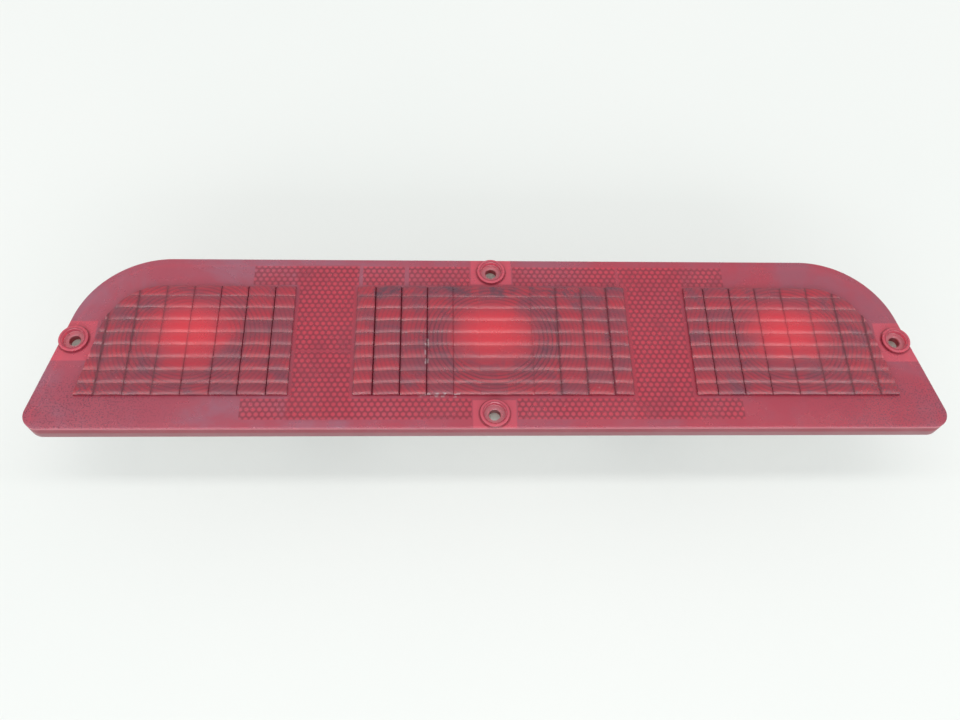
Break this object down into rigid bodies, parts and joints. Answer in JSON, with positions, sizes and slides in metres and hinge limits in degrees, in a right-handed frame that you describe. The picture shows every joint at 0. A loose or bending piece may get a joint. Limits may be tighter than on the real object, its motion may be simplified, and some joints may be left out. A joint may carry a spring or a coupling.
{
  "type": "third brake light",
  "caption": "Long red moulded brake light lens with ring optics and reflex prisms, on a gasketed housing with reflectors, twist-lock bulb holders and small bayonet bulbs.",
  "frame": {"origin": "centre of the lens outline in X and Y, on the plane that the lamp rests on when it lies on its back (the rear ends of the bulb holders)", "axes": "+X along the lamp to the right as seen from in front with the long straight edge down, +Y up the lens face towards the arched edge, +Z out of the lens face"},
  "size_m": [0.3724, 0.08, 0.0481],
  "materials": {
    "red_lens": "red acrylic, slightly worn and dusty",
    "gasket_white": "white closed-cell foam, matt",
    "gasket_foam": "black closed-cell foam, matt",
    "housing_plastic": "pale grey moulded plastic, satin",
    "reflector_white": "white, glossy",
    "sleeve_nylon": "natural nylon",
    "holder_plastic": "ivory moulded plastic, satin",
    "seal_rubber": "silicone rubber, matt",
    "brass": "drawn brass, slightly dull",
    "spring_steel": "spring wire",
    "contact_board": "phenolic board",
    "bulb_glass": "clear glass",
    "filament_wire": "tungsten and nickel wire"
  },
  "bodies": {
    "lamp_body": {"lens": "red_lens", "lens_gasket": "gasket_white", "housing": "housing_plastic", "body_gasket": "gasket_foam", "screw_sleeves": "sleeve_nylon", "reflector_left": "reflector_white", "reflector_centre": "reflector_white", "reflector_right": "reflector_white"},
    "holder_left": {"bulb_holder_left": "holder_plastic", "holder_seal_left": "seal_rubber", "socket_shell_left": "brass", "terminal_blades_left": "brass", "contact_spring_left": "spring_steel"},
    "bulb_left": {"contact_plate_left": "contact_board", "bulb_cap_left": "brass", "bulb_glass_left": "bulb_glass", "bulb_filament_left": "filament_wire"},
    "holder_centre": {"bulb_holder_centre": "holder_plastic", "holder_seal_centre": "seal_rubber", "socket_shell_centre": "brass", "terminal_blades_centre": "brass", "contact_spring_centre": "spring_steel"},
    "bulb_centre": {"contact_plate_centre": "contact_board", "bulb_cap_centre": "brass", "bulb_glass_centre": "bulb_glass", "bulb_filament_centre": "filament_wire"},
    "holder_right": {"bulb_holder_right": "holder_plastic", "holder_seal_right": "seal_rubber", "socket_shell_right": "brass", "terminal_blades_right": "brass", "contact_spring_right": "spring_steel"},
    "bulb_right": {"contact_plate_right": "contact_board", "bulb_cap_right": "brass", "bulb_glass_right": "bulb_glass", "bulb_filament_right": "filament_wire"}
  },
  "joints": [
    {"name": "holder_twist_left", "type": "hinge", "parent": "lamp_body", "child": "holder_left", "pos_m": [-0.1256, 0.001, 0.0118], "axis": [0, 0, 1], "range_deg": [-40, 0]},
    {"name": "holder_twist_centre", "type": "hinge", "parent": "lamp_body", "child": "holder_centre", "pos_m": [0, 0.001, 0.0118], "axis": [0, 0, 1], "range_deg": [-40, 0]},
    {"name": "holder_twist_right", "type": "hinge", "parent": "lamp_body", "child": "holder_right", "pos_m": [0.1256, 0.001, 0.0118], "axis": [0, 0, 1], "range_deg": [-40, 0]},
    {"name": "bulb_push_left", "type": "slide", "parent": "holder_left", "child": "bulb_left", "axis": [0, 0, -1], "range_m": [0, 0.0015], "stiffness_N_per_m": 1500, "springref_m": -0.001, "deforming": ["contact_spring_left"]},
    {"name": "bulb_push_centre", "type": "slide", "parent": "holder_centre", "child": "bulb_centre", "axis": [0, 0, -1], "range_m": [0, 0.0015], "stiffness_N_per_m": 1500, "springref_m": -0.001, "deforming": ["contact_spring_centre"]},
    {"name": "bulb_push_right", "type": "slide", "parent": "holder_right", "child": "bulb_right", "axis": [0, 0, -1], "range_m": [0, 0.0015], "stiffness_N_per_m": 1500, "springref_m": -0.001, "deforming": ["contact_spring_right"]}
  ]
}
